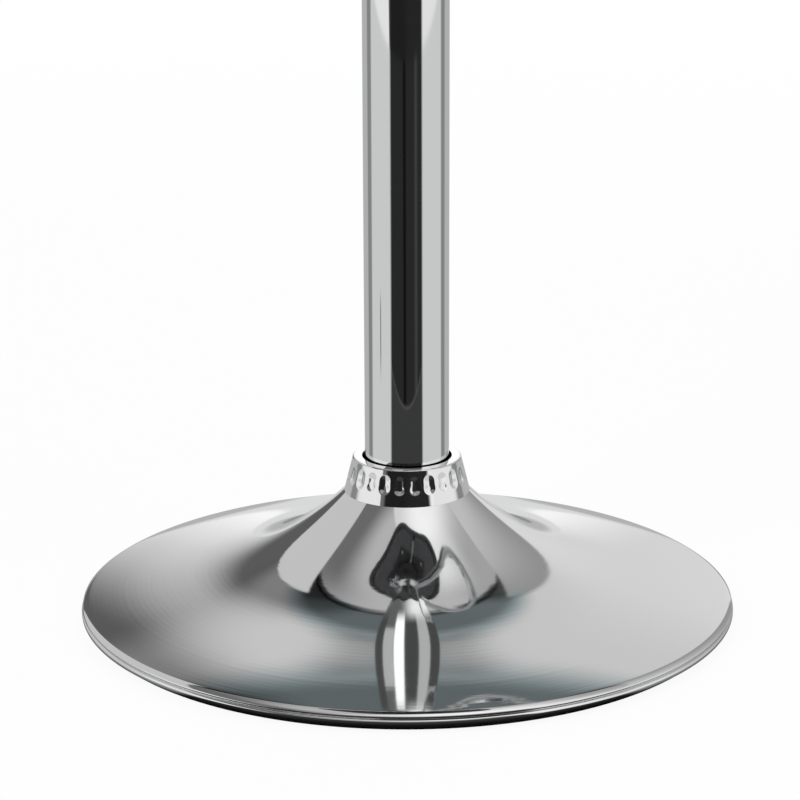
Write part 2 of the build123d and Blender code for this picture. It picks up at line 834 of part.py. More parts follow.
# Plywood board, bored and recessed for the tee nuts
board_inset = cushion_bulge + cover_wall + board_gap
with BuildPart() as seat_board:
    extrude(seat_section(board_bottom, board_inset), amount=board_thickness)
    with BuildSketch(Plane.XY.offset(board_bottom)):
        with GridLocations(seat_bolt_pitch, seat_bolt_pitch, 2, 2):
            Circle(tee_barrel_radius + seat_gap)
    extrude(amount=board_thickness, mode=Mode.SUBTRACT)
    with BuildSketch(Plane.XY.offset(board_top)):
        with GridLocations(seat_bolt_pitch, seat_bolt_pitch, 2, 2):
            Circle(tee_flange_radius + seat_gap)
    extrude(amount=-tee_flange_thickness, mode=Mode.SUBTRACT)
seat_board.part.label = "seat_board"
export_step(seat_board.part, "parts/seat_board.step")

# Tee nuts in the board's top, and the bolts that come up through the plate
with BuildPart() as tee_nuts:
    with BuildSketch(Plane.XY.offset(board_top)):
        with GridLocations(seat_bolt_pitch, seat_bolt_pitch, 2, 2):
            Circle(tee_flange_radius)
    extrude(amount=-tee_flange_thickness)
    with BuildSketch(Plane.XY.offset(board_top)):
        with GridLocations(seat_bolt_pitch, seat_bolt_pitch, 2, 2):
            Circle(tee_barrel_radius)
    extrude(amount=-tee_barrel_length)
    with BuildSketch(Plane.XY.offset(board_top)):
        with GridLocations(seat_bolt_pitch, seat_bolt_pitch, 2, 2):
            Circle(seat_bolt_radius + seat_gap)
    extrude(amount=-tee_barrel_length, mode=Mode.SUBTRACT)
tee_nuts.part.label = "tee_nuts"
export_step(tee_nuts.part, "parts/tee_nuts.step")

with BuildPart() as seat_bolts:
    with BuildSketch(Plane.XY.offset(flange_bottom)):
        with GridLocations(seat_bolt_pitch, seat_bolt_pitch, 2, 2):
            RegularPolygon(seat_bolt_head_width / 2, 6, major_radius=False)
    extrude(amount=-seat_bolt_head_height)
    with BuildSketch(Plane.XY.offset(flange_bottom)):
        with GridLocations(seat_bolt_pitch, seat_bolt_pitch, 2, 2):
            Circle(seat_bolt_radius)
    extrude(amount=board_top - flange_bottom)
seat_bolts.part.label = "seat_bolts"
export_step(seat_bolts.part, "parts/seat_bolts.step")

# Dust cloth stapled under the board
with BuildPart() as dust_cloth:
    extrude(seat_section(seat_plate_top, dust_inset), amount=dust_thickness)
    with BuildSketch(Plane.XY.offset(seat_plate_top)):
        with GridLocations(seat_bolt_pitch, seat_bolt_pitch, 2, 2):
            Circle(seat_bolt_radius + bolt_hole_gap)
    extrude(amount=dust_thickness, mode=Mode.SUBTRACT)
dust_cloth.part.label = "dust_cloth"
export_step(dust_cloth.part, "parts/dust_cloth.step")
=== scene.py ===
"""Looks of a gas-lift kitchen stool: chromed trumpet base, collar, column and footrest, and a padded seat."""
import math

import bmesh
import bpy
from mathutils import Matrix, Vector
from mathutils.geometry import interpolate_bezier


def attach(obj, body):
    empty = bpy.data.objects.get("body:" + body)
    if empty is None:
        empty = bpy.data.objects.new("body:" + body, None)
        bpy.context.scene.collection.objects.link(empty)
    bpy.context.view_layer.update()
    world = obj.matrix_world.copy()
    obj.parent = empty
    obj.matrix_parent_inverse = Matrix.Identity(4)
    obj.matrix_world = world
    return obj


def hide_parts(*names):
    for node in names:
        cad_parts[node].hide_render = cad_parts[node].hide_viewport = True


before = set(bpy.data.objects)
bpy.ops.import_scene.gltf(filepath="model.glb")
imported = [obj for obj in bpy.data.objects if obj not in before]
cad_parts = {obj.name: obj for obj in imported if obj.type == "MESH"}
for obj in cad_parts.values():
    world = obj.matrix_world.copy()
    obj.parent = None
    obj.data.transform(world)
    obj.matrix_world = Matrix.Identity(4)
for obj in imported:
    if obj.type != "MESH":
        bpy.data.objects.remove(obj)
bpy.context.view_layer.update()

# Rubber floor ring. A moulded black ring under the rolled rim, which keeps the chrome off the floor.
# It is pressed into the rim's hem, so only its sloped outer side and its sole can be seen.


class Wire:
    """An output socket that takes part in sums, each of which adds a Math node."""

    def __init__(self, finish, socket):
        self.finish = finish
        self.socket = socket

    def math(self, operation, *others):
        return self.finish.node("ShaderNodeMath", {"operation": operation}, [self, *others])

    def __add__(self, other):
        return self.math("ADD", other)

    __radd__ = __add__

    def __sub__(self, other):
        return self.math("SUBTRACT", other)

    def __rsub__(self, other):
        return self.finish.node("ShaderNodeMath", {"operation": "SUBTRACT"}, [other, self])

    def __mul__(self, other):
        return self.math("MULTIPLY", other)

    __rmul__ = __mul__

    def __truediv__(self, other):
        return self.math("DIVIDE", other)

    def __pow__(self, other):
        return self.math("POWER", other)

    def ramp(self, low, high, start=0.0, end=1.0):
        """A smooth step from start to end while this value goes from low to high."""
        settings = {"interpolation_type": "SMOOTHSTEP"}
        return self.finish.node("ShaderNodeMapRange", settings, [self, low, high, start, end])


class Finish:
    """A material under construction: its shader's plain values, and the wires that vary over the surface."""

    def __init__(self, name, **plain):
        self.material = bpy.data.materials.new(name)
        self.material.use_nodes = True
        self.tree = self.material.node_tree
        self.shader = self.tree.nodes["Principled BSDF"]
        for key, value in plain.items():
            self.shader.inputs[key.replace("_", " ").title().replace("Ior", "IOR")].default_value = value
        self.place = self.node("ShaderNodeTexCoord", {}, {}, "Object")

    def node(self, kind, settings, inputs, output=0):
        """Adds a node: its settings first, then the values or wires of its sockets."""
        made = self.tree.nodes.new(kind)
        for key, value in settings.items():
            setattr(made, key, value)
        pairs = inputs.items() if isinstance(inputs, dict) else enumerate(inputs)
        for key, value in pairs:
            if isinstance(value, Wire):
                self.tree.links.new(value.socket, made.inputs[key])
            else:
                made.inputs[key].default_value = value
        return Wire(self, made.outputs[output])

    def feed(self, socket, wire):
        self.tree.links.new(wire.socket, self.shader.inputs[socket])

    def noise(self, scale, detail=3.0, place=None, output="Fac"):
        inputs = {"Vector": place or self.place, "Scale": scale, "Detail": detail}
        return self.node("ShaderNodeTexNoise", {}, inputs, output)

    def stretched(self, size, turn=(0, 0, 0)):
        return self.node("ShaderNodeMapping", {}, {"Vector": self.place, "Scale": size, "Rotation": turn})

    def blend(self, factor, first, second):
        inputs = {0: factor, 6: (*first, 1.0) if isinstance(first, tuple) else first,
                  7: (*second, 1.0) if isinstance(second, tuple) else second}
        return self.node("ShaderNodeMix", {"data_type": "RGBA"}, inputs, 2)

    def emboss(self, height, distance, strength=1.0):
        self.feed("Normal", self.node(
            "ShaderNodeBump", {}, {"Strength": strength, "Distance": distance, "Height": height}))


def put(name, bm, body, finish, slot, *stands_for, crease=35):
    """Makes a smooth piece of a finished bmesh, paints it and lets it ride on a body."""
    mesh = bpy.data.meshes.new(name)
    bm.to_mesh(mesh)
    bm.free()
    mesh.shade_smooth()
    mesh.set_sharp_from_angle(angle=math.radians(crease))
    piece = bpy.data.objects.new(name, mesh)
    bpy.context.scene.collection.objects.link(piece)
    mesh.materials.append(finish.material)
    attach(piece, body)
    if stands_for:
        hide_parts(*stands_for)
    return piece


def paint(finish, *nodes):
    """Gives CAD nodes that keep their shape a finish."""
    for name in nodes:
        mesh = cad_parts[name].data
        mesh.materials.clear()
        mesh.materials.append(finish.material)


def pen(bm, last, *points):
    """Draws on from a vertex by extruding it to each point of a half section, given as radius and height."""
    for radius, height in points:
        if last is None:
            last = bm.verts.new((radius, 0, height))
        else:
            new = bmesh.ops.extrude_vert_indiv(bm, verts=[last])["verts"][0]
            new.co = (radius, 0, height)
            last = new
    return last


def ease(bm, corners, radius, segments=4):
    """Rounds the named corners of a half section, given as radius and height."""
    for at in corners:
        nearest = min(bm.verts, key=lambda v: (v.co - Vector((at[0], 0, at[1]))).length)
        bmesh.ops.bevel(bm, geom=[nearest], offset=radius, offset_type="OFFSET", segments=segments,
                        profile=0.5, affect="VERTICES", material=-1)


def edges_of(verts):
    return list({edge for vert in verts for edge in vert.link_edges})


def soften(bm, edges, offset, segments=3):
    """Rounds edges."""
    bmesh.ops.bevel(bm, geom=edges, offset=offset, offset_type="OFFSET", segments=segments, profile=0.5,
                    affect="EDGES", material=-1)


def turn(bm, steps):
    """Spins a closed half section round the stool's axis."""
    bmesh.ops.remove_doubles(bm, verts=bm.verts[:], dist=1e-7)
    bmesh.ops.spin(bm, geom=bm.verts[:] + bm.edges[:], cent=(0, 0, 0), axis=(0, 0, 1), dvec=(0, 0, 0),
                   angle=2 * math.pi, steps=steps, use_merge=True)
    bmesh.ops.remove_doubles(bm, verts=bm.verts[:], dist=1e-6)
    bmesh.ops.recalc_face_normals(bm, faces=bm.faces[:])


rubber = Finish("moulded_rubber", roughness=0.55, specular_ior_level=0.35)
rubber_dust = rubber.noise(14.0).ramp(0.52, 0.75)
rubber.feed("Base Color", rubber.blend(rubber_dust * 0.25, (0.012, 0.012, 0.013), (0.06, 0.058, 0.055)))
rubber.feed("Roughness", rubber.noise(90.0, 4.0) * 0.25 + 0.45)
rubber.emboss(rubber.noise(1400.0, 2.0), 0.0002, 0.4)
sole_inner, sole_outer, ring_outer, ring_height = 0.1821, 0.1884, 0.1931, 0.0042
bm = bmesh.new()
pen(bm, None, (sole_inner, 0), (sole_outer, 0), (ring_outer, ring_height), (sole_inner, ring_height),
    (sole_inner, 0))
ease(bm, [(sole_outer, 0)], 0.0008)
turn(bm, 192)
put("floor_ring_rubber", bm, "base", rubber, "black_rubber", "floor_ring")

# Trumpet base. A shell pressed from one steel disc, polished and chromed to a mirror. Its rim is rolled into
# two beads over the rubber ring, and its neck lip clasps the column's socket.
chrome = Finish("mirror_chrome", metallic=1.0, roughness=0.05, base_color=(0.90, 0.91, 0.915, 1))
hand_marks = chrome.noise(9.0, 5.0).ramp(0.35, 0.75)
polish = chrome.noise(160.0, 2.0).ramp(0.55, 0.8)
chrome.feed("Roughness", hand_marks * 0.035 + polish * 0.02 + 0.035)
spun_chrome = Finish("spun_chrome", metallic=1.0, roughness=0.05, base_color=(0.90, 0.91, 0.915, 1))
from_axis = spun_chrome.node("ShaderNodeVectorMath", {"operation": "LENGTH"}, [spun_chrome.place], 1)
wander = spun_chrome.noise(6.0, 2.0)
spun_lines = spun_chrome.node("ShaderNodeTexNoise", {"noise_dimensions": "1D"},
                              {"W": from_axis + wander * 0.004, "Scale": 420.0, "Detail": 3.0})
wiped = spun_chrome.noise(9.0, 5.0).ramp(0.35, 0.75)
spun_chrome.feed("Roughness", wiped * 0.03 + spun_lines * 0.03 + 0.03)
spun_chrome.emboss(spun_lines, 0.00002, 0.5)
shell_wall = 0.0012
flare = [(0.0373, 0.07500, 45.8), (0.0450, 0.06759, 42.0), (0.0550, 0.05922, 38.0), (0.0660, 0.05113, 34.6),
         (0.0780, 0.04350, 30.05), (0.0900, 0.03730, 24.5), (0.1020, 0.03251, 19.05), (0.1140, 0.02892, 14.5),
         (0.1300, 0.02539, 11.0), (0.1520, 0.02118, 11.1), (0.1740, 0.01638, 13.9), (0.1923, 0.01140, 17.0)]
lip_outer, lip_inner, lip_foot, lip_top = 0.0303, 0.0291, 0.0822, 0.0882
shoulder, shoulder_foot, groove = (0.1943, 0.0098), (0.1943, 0.0089), (0.1934, 0.0080)
bead_top, bead_foot = (0.1950, 0.0080), (0.1950, 0.0042)
hem_sole, hem_upper, hem_root = (0.1860, 0.0042), (0.1860, 0.0054), (0.1911, 0.0054)
bm = bmesh.new()
end = pen(bm, None, (lip_inner, lip_top), (lip_outer, lip_top), (lip_outer, lip_foot), flare[0][:2])
for (r, z, slope), (next_r, next_z, next_slope) in zip(flare, flare[1:]):
    third = (next_r - r) / 3
    leave = (r + third, z - third * math.tan(math.radians(slope)))
    arrive = (next_r - third, next_z + third * math.tan(math.radians(next_slope)))
    span = interpolate_bezier((r, z), leave, arrive, (next_r, next_z), 9)
    end = pen(bm, end, *[point.to_tuple() for point in span[1:]])
end = pen(bm, end, shoulder, shoulder_foot, groove, bead_top, bead_foot, hem_sole, hem_upper, hem_root)
for r, z, slope in reversed(flare):
    lean = math.radians(slope)
    end = pen(bm, end, (r - shell_wall * math.sin(lean), z - shell_wall * math.cos(lean)))
pen(bm, end, (lip_inner, lip_foot), (lip_inner, lip_top))
ease(bm, [flare[-1][:2]], 0.0014, 6)
ease(bm, [shoulder, shoulder_foot], 0.0004, 3)
ease(bm, [bead_top, bead_foot], 0.0016, 6)
turn(bm, 256)
put("base_shell_chrome", bm, "base", spun_chrome, "chrome_base", "base_shell", crease=50)

# Bottom plate, ballast and screws. A black painted steel disc lies on the rim's hem and carries a cast ring
# that keeps the stool upright. Pan-head screws from below hold the ring and the column's socket.
black_paint = Finish("black_paint", specular_ior_level=0.45)
scuff = black_paint.noise(28.0, 6.0).ramp(0.60, 0.74)
black_paint.feed("Base Color", black_paint.blend(scuff * 0.3, (0.017, 0.017, 0.018), (0.07, 0.07, 0.068)))
black_paint.feed("Roughness", black_paint.noise(60.0) * 0.2 + scuff * 0.12 + 0.30)
black_paint.emboss(black_paint.noise(900.0, 2.0), 0.0003, 0.25)
paint(black_paint, "bottom_plate", "hub_socket")
cast_iron = Finish("cast_iron", metallic=0.6)
rust = cast_iron.noise(35.0, 6.0).ramp(0.55, 0.72)
cast_iron.feed("Base Color", cast_iron.blend(rust * 0.6, (0.085, 0.085, 0.087), (0.16, 0.075, 0.035)))
cast_iron.feed("Roughness", cast_iron.noise(140.0) * 0.25 + 0.55)
cast_iron.emboss(cast_iron.noise(420.0, 5.0), 0.0008, 0.7)
paint(cast_iron, "ballast_ring")
zinc = Finish("bright_zinc", metallic=1.0)
spangle = zinc.node("ShaderNodeTexVoronoi", {}, {"Vector": zinc.place, "Scale": 520.0}, "Color")
zinc.feed("Base Color", zinc.blend(spangle, (0.60, 0.61, 0.62), (0.70, 0.70, 0.67)))
zinc.feed("Roughness", zinc.noise(240.0) * 0.22 + 0.22)
head_radius, head_crown, shank_radius = 0.0055, 0.0046, 0.0030
head_seat, head_edge, head_face = 0.0054, 0.0036, 0.0027
recess_radius, recess_root, recess_half = 0.0028, 0.0020, 0.0006
recess_mouth, recess_floor = 0.0026, 0.0042


def pan_screws(name, node, circle, count, shank_top):
    """A ring of cross-recess screws with their heads under the bottom plate."""
    bm = bmesh.new()
    pen(bm, None, (0, recess_floor), (recess_root, recess_floor), (recess_radius, recess_mouth),
        (head_crown, head_face), (head_radius, head_edge), (head_radius, head_seat),
        (shank_radius, head_seat), (shank_radius, shank_top), (0, shank_top))
    ease(bm, [(head_radius, head_edge), (head_crown, head_face)], 0.0003, 3)
    turn(bm, 48)
    for vert in bm.verts:
        reach = math.hypot(vert.co.x, vert.co.y)
        if recess_root - 0.0005 < reach < recess_radius + 0.0001 and vert.co.z < head_seat - 0.0004:
            off_arm = math.atan2(vert.co.y, vert.co.x) % (math.pi / 2)
            off_arm = min(off_arm, math.pi / 2 - off_arm)
            slim = min(1.0, recess_half / reach / max(math.sin(off_arm), 0.01))
            vert.co.x *= slim
            vert.co.y *= slim
    bmesh.ops.translate(bm, verts=bm.verts[:], vec=(circle, 0, 0))
    bmesh.ops.spin(bm, geom=bm.verts[:] + bm.edges[:] + bm.faces[:], cent=(0, 0, 0), axis=(0, 0, 1),
                   dvec=(0, 0, 0), angle=2 * math.pi * (count - 1) / count, steps=count - 1,
                   use_duplicate=True)
    put(name, bm, "base", zinc, "zinc_steel", node)


pan_screws("hub_screws_zinc", "hub_screws", 0.042, 4, 0.0124)
pan_screws("ballast_screws_zinc", "ballast_screws", 0.105, 3, 0.0144)

# Column. A welded steel tube of 50 mm, ground and chromed, driven into the tapered socket of the base. The
# thrust bearing, the piston rod and the rubber bumper of the gas spring stand inside it.
column_radius, column_wall, foot_radius = 0.025, 0.002, 0.0237
column_foot, taper_top, column_top = 0.014, 0.084, 0.430
bm = bmesh.new()
pen(bm, None, (foot_radius, column_foot), (column_radius, taper_top), (column_radius, column_top),
    (column_radius - column_wall, column_top), (column_radius - column_wall, taper_top),
    (foot_radius - column_wall, column_foot), (foot_radius, column_foot))
ease(bm, [(column_radius, column_top)], 0.0007)
turn(bm, 160)
put("column_chrome", bm, "base", chrome, "chrome_tube", "column_tube")
ground_steel = Finish("ground_steel", metallic=1.0)
ground_marks = ground_steel.noise(60.0, 2.0, ground_steel.stretched((1, 1, 30)))
ground_steel.feed("Base Color", ground_steel.blend(ground_marks, (0.50, 0.50, 0.51), (0.64, 0.64, 0.63)))
ground_steel.feed("Roughness", ground_marks * 0.15 + 0.18)
paint(ground_steel, "column_end_plate", "thrust_race_lower", "thrust_race_upper", "thrust_balls",
      "piston_rod", "rod_clip", "piston_nut", "release_pin")
turned_alloy = Finish("turned_aluminium", metallic=1.0)
lathe_lines = turned_alloy.noise(90.0, 3.0, turned_alloy.stretched((1, 1, 40)))
turned_alloy.feed("Base Color", turned_alloy.blend(lathe_lines, (0.68, 0.69, 0.70), (0.78, 0.78, 0.78)))
turned_alloy.feed("Roughness", lathe_lines * 0.2 + 0.25)
paint(turned_alloy, "piston", "valve_block")
paint(rubber, "bumper")

# Trim collar. A thin plated pressing that hides the column's socket: a cone with a flat top ring and a row of
# 24 upright oval dimples. It drops over the column and rests on the trumpet's neck.
plated = Finish("bright_plating", metallic=1.0, base_color=(0.93, 0.935, 0.94, 1))
plated.feed("Roughness", plated.noise(40.0, 4.0).ramp(0.4, 0.8) * 0.04 + 0.04)
collar_foot, collar_top, collar_foot_radius, collar_top_radius = 0.07505, 0.0960, 0.0373, 0.0321
collar_bore, collar_wall, collar_seat, collar_rows = 0.0267, 0.0020, (0.0353, 0.0771), 40
dimple_count, dimple_half_width, dimple_half_height, dimple_depth = 24, 0.0038, 0.0059, 0.0008
dimple_share, dimple_foot_fall = 0.59, 0.45
dimple_core = dimple_half_height - dimple_half_width
pitch = 2 * math.pi / dimple_count
bm = bmesh.new()
end = pen(bm, None, (collar_foot_radius, collar_foot))
for row in range(1, collar_rows + 1):
    share = row / collar_rows
    radius = collar_foot_radius + (collar_top_radius - collar_foot_radius) * share
    end = pen(bm, end, (radius, collar_foot + (collar_top - collar_foot) * share))
pen(bm, end, (collar_bore, collar_top), (collar_bore, collar_top - collar_wall),
    (collar_top_radius - collar_wall, collar_top - collar_wall), collar_seat,
    (collar_foot_radius, collar_foot))
turn(bm, dimple_count * 20)
slant = math.hypot(collar_top - collar_foot, collar_foot_radius - collar_top_radius)
lean_out = Vector((collar_top - collar_foot, collar_foot_radius - collar_top_radius)) / slant
middle_radius = collar_foot_radius + (collar_top_radius - collar_foot_radius) * dimple_share
middle_height = collar_foot + (collar_top - collar_foot) * dimple_share
for vert in bm.verts:
    radius, angle = math.hypot(vert.co.x, vert.co.y), math.atan2(vert.co.y, vert.co.x)
    off_face = (radius - middle_radius) * lean_out.x + (vert.co.z - middle_height) * lean_out.y
    if abs(off_face) > 1e-5:
        continue
    sideways = (angle - pitch * round(angle / pitch)) * middle_radius
    upwards = (vert.co.z - middle_height) * slant / (collar_top - collar_foot)
    inwards = dimple_half_width - math.hypot(sideways, max(abs(upwards) - dimple_core, 0))
    above_foot = min(max((dimple_half_height + upwards) / dimple_half_height, 0), 1)
    fall = dimple_half_width * (dimple_foot_fall + (1 - dimple_foot_fall) * above_foot)
    share = min(max(inwards / fall, 0), 1)
    press = dimple_depth * share * share * (3 - 2 * share)
    outwards = Vector((math.cos(angle) * lean_out.x, math.sin(angle) * lean_out.x, lean_out.y))
    vert.co -= outwards * press
crown_edge = [e for e in bm.edges if all(abs(v.co.z - collar_top) < 1e-6 for v in e.verts)
              and all(abs(v.co.xy.length - collar_top_radius) < 1e-6 for v in e.verts)]
soften(bm, crown_edge, 0.0007)
put("trim_collar_plated", bm, "base", plated, "plated_trim", "trim_collar")

# Guide bush. A moulded nylon sleeve pressed into the column's mouth, with a chamfered flange on the tube's
# end. The gas cylinder slides and turns in it.
nylon = Finish("black_nylon", specular_ior_level=0.4)
nylon.feed("Base Color", nylon.blend(nylon.noise(70.0), (0.012, 0.012, 0.013), (0.022, 0.022, 0.023)))
nylon.feed("Roughness", nylon.noise(300.0) * 0.15 + 0.34)
nylon.emboss(nylon.noise(2400.0, 2.0), 0.0001, 0.3)
bush_top, bush_foot, bush_bore, bush_skirt = 0.436, 0.340, 0.01406, 0.02295
bm = bmesh.new()
pen(bm, None, (bush_bore, bush_foot), (bush_skirt, bush_foot), (bush_skirt, column_top),
    (column_radius, column_top), (column_radius, bush_top), (bush_bore, bush_top), (bush_bore, bush_foot))
ease(bm, [(column_radius, bush_top)], 0.0012, 3)
ease(bm, [(bush_bore, bush_top)], 0.0005, 3)
turn(bm, 96)
put("guide_bush_nylon", bm, "base", nylon, "black_plastic", "guide_bush")

# Footrest. One chromed tube bent to a hoop, with both ends welded to a split clamp on the column's top. Two
# socket screws through the clamp's ears pinch it tight.
clamp_bore, clamp_radius, clamp_foot, clamp_top = 0.02505, 0.02895, 0.384, 0.420
clamp_slit, ear_side, ear_root, ear_end = 0.0025, 0.0085, 0.02605, 0.04595
footrest_height, tube_radius = 0.402, 0.0095
arm_angle, corner_reach, front_reach = math.radians(35.7), 0.209, 0.176
corner_bend, front_bend = 0.045, 0.400
bm = bmesh.new()
pen(bm, None, (clamp_bore, clamp_foot), (clamp_radius, clamp_foot), (clamp_radius, clamp_top),
    (clamp_bore, clamp_top), (clamp_bore, clamp_foot))
bmesh.ops.remove_doubles(bm, verts=bm.verts[:], dist=1e-7)
bmesh.ops.contextual_create(bm, geom=bm.edges[:])
ease(bm, [(clamp_radius, clamp_foot), (clamp_radius, clamp_top)], 0.0012)
half_open = math.asin(clamp_slit / clamp_bore)
bmesh.ops.rotate(bm, verts=bm.verts[:], cent=(0, 0, 0), matrix=Matrix.Rotation(half_open - math.pi, 3, "Z"))
bmesh.ops.spin(bm, geom=bm.verts[:] + bm.edges[:] + bm.faces[:], cent=(0, 0, 0), axis=(0, 0, 1),
               dvec=(0, 0, 0), angle=2 * (math.pi - half_open), steps=96)
for side in (-1, 1):
    middle = (-(ear_root + ear_end) / 2, side * (clamp_slit + ear_side) / 2, (clamp_foot + clamp_top) / 2)
    size = (ear_end - ear_root, ear_side - clamp_slit, clamp_top - clamp_foot)
    ear = bmesh.ops.create_cube(bm, size=1.0, matrix=Matrix.LocRotScale(middle, None, size))["verts"]
    soften(bm, edges_of(ear), 0.0012)
bmesh.ops.recalc_face_normals(bm, faces=bm.faces[:])
put("footrest_clamp_chrome", bm, "base", chrome, "chrome_tube", "footrest_clamp")
paint(zinc, "clamp_screws", "clamp_nuts")


def section(bm, radius, at, along, sides):
    """A circle across a tube's run."""
    facing = Vector(along).to_track_quat("Z", "Y").to_matrix().to_4x4()
    place = Matrix.Translation(at) @ facing
    return edges_of(bmesh.ops.create_circle(bm, radius=radius, segments=sides, matrix=place)["verts"])


def rim_of(geometry):
    """The free edges of what was drawn last."""
    return [part for part in geometry if isinstance(part, bmesh.types.BMEdge) and len(part.link_faces) < 2]


def drawn(bm, edges, by):
    """Draws a tube's section on along a straight run."""
    made = bmesh.ops.extrude_edge_only(bm, edges=edges)["geom"]
    bmesh.ops.translate(bm, verts=[part for part in made if isinstance(part, bmesh.types.BMVert)], vec=by)
    return rim_of(made)


def bent(bm, edges, centre, axis, angle, steps):
    """Draws a tube's section on round a bend."""
    verts = list({vert for edge in edges for vert in edge.verts})
    made = bmesh.ops.spin(bm, geom=verts + edges, cent=centre, axis=axis, dvec=(0, 0, 0), angle=angle,
                          steps=steps)
    return rim_of(made["geom_last"])


arm = Vector((math.cos(arm_angle), math.sin(arm_angle), 0))
level = Vector((0, 0, footrest_height))
front_run = Vector((front_reach, 0, 0)) - corner_reach * arm
corner_turn = arm_angle + math.atan2(-front_run.y, front_run.x)
front_turn = 2 * math.atan2(front_run.x, -front_run.y)
corner_trim = corner_bend * math.tan(corner_turn / 2)
front_trim = front_bend * math.tan(front_turn / 2)
corner_centre = (corner_reach - corner_trim) * arm + corner_bend * Vector((arm.y, -arm.x, 0)) + level
front_centre = Vector((front_reach - front_bend / math.cos(front_turn / 2), 0, 0)) + level
side_run = front_run.normalized() * (front_run.length - corner_trim - front_trim)
bm = bmesh.new()
arm_root = 0.027
edge_loop = section(bm, tube_radius, arm_root * arm + level, arm, 32)
edge_loop = drawn(bm, edge_loop, (corner_reach - corner_trim - arm_root) * arm)
edge_loop = bent(bm, edge_loop, corner_centre, (0, 0, 1), -corner_turn, 32)
edge_loop = drawn(bm, edge_loop, side_run)
edge_loop = bent(bm, edge_loop, front_centre, (0, 0, 1), -front_turn, 8)
edge_loop = drawn(bm, edge_loop, (-side_run.x, side_run.y, 0))
other_centre = (corner_centre.x, -corner_centre.y, corner_centre.z)
edge_loop = bent(bm, edge_loop, other_centre, (0, 0, 1), -corner_turn, 32)
edge_loop = drawn(bm, edge_loop, -(corner_reach - corner_trim - arm_root) * Vector((arm.x, -arm.y, 0)))
bmesh.ops.holes_fill(bm, edges=bm.edges[:], sides=32)
bead_radius, bead_ripples, ripple_share = 0.0016, 22, 0.0144
for side in (-1, 1):
    along = Vector((arm.x, side * arm.y, 0))
    level_across = along.cross(Vector((0, 0, 1)))
    weld_middle = clamp_radius * along + level
    bead = section(bm, bead_radius, weld_middle + Vector((0, 0, tube_radius + 0.0004)), level_across, 10)
    bead_verts = list({vert for edge in bead for vert in edge.verts})
    bmesh.ops.spin(bm, geom=bead_verts + bead, cent=weld_middle, axis=along, dvec=(0, 0, 0),
                   angle=2 * math.pi, steps=64, use_merge=True)
    for vert in bm.verts:
        reach = vert.co - level
        across = reach - along * reach.dot(along)
        if abs(reach.dot(along) - clamp_radius) < 0.003 and 0.0096 < across.length < 0.013:
            sideways = across.dot(level_across)
            ripple = ripple_share * math.sin(bead_ripples * math.atan2(across.z, sideways))
            vert.co += along * (math.sqrt(clamp_radius ** 2 - sideways ** 2) - clamp_radius)
            vert.co += across * ripple
bmesh.ops.recalc_face_normals(bm, faces=bm.faces[:])
put("footrest_hoop_chrome", bm, "base", chrome, "chrome_tube", "footrest_hoop")

# Gas cylinder. A drawn steel tube, painted satin black, that slides over the piston rod. Its tapered top is
# driven into the seat's socket.
satin_black = Finish("satin_black", specular_ior_level=0.5)
slide_marks = satin_black.noise(40.0, 3.0, satin_black.stretched((8, 8, 0.6))).ramp(0.45, 0.8)
satin_black.feed("Base Color", satin_black.blend(slide_marks, (0.014, 0.014, 0.015), (0.030, 0.030, 0.031)))
satin_black.feed("Roughness", slide_marks * 0.12 + 0.20)
cylinder_foot, socket_foot, dish_floor, cylinder_top = 0.287, 0.680, 0.720, 0.726
cylinder_radius, cylinder_bore, tip_radius, tip_bore = 0.014, 0.012, 0.013, 0.011
bm = bmesh.new()
pen(bm, None, (cylinder_bore, cylinder_foot), (cylinder_radius, cylinder_foot),
    (cylinder_radius, socket_foot), (tip_radius, dish_floor), (tip_radius, cylinder_top),
    (tip_bore, cylinder_top), (tip_bore, dish_floor), (cylinder_bore, socket_foot),
    (cylinder_bore, cylinder_foot))
ease(bm, [(cylinder_radius, cylinder_foot), (tip_radius, cylinder_top)], 0.0006, 3)
turn(bm, 96)
put("gas_cylinder_black", bm, "seat", satin_black, "black_steel", "gas_cylinder")
paint(turned_alloy, "rod_guide")

# Seat plate. A square of painted sheet steel, stamped with a round dish, with the taper socket welded under
# it. Four hex bolts hold it to tee nuts in the seat's board.
paint(black_paint, "seat_plate", "lever_bracket")
paint(zinc, "seat_bolts", "tee_nuts")
paint(ground_steel, "lever_pivot")
socket_radius, weld_radius, weld_foot, socket_bore, socket_tip = 0.021, 0.0228, 0.7180, 0.01405, 0.01305
bm = bmesh.new()
pen(bm, None, (socket_bore, socket_foot), (socket_radius, socket_foot), (socket_radius, weld_foot),
    (weld_radius, dish_floor), (socket_tip, dish_floor), (socket_bore, socket_foot))
ease(bm, [(socket_radius, socket_foot), (socket_radius, weld_foot)], 0.0012, 3)
turn(bm, 96)
put("taper_socket_black", bm, "seat", black_paint, "black_steel", "taper_socket")

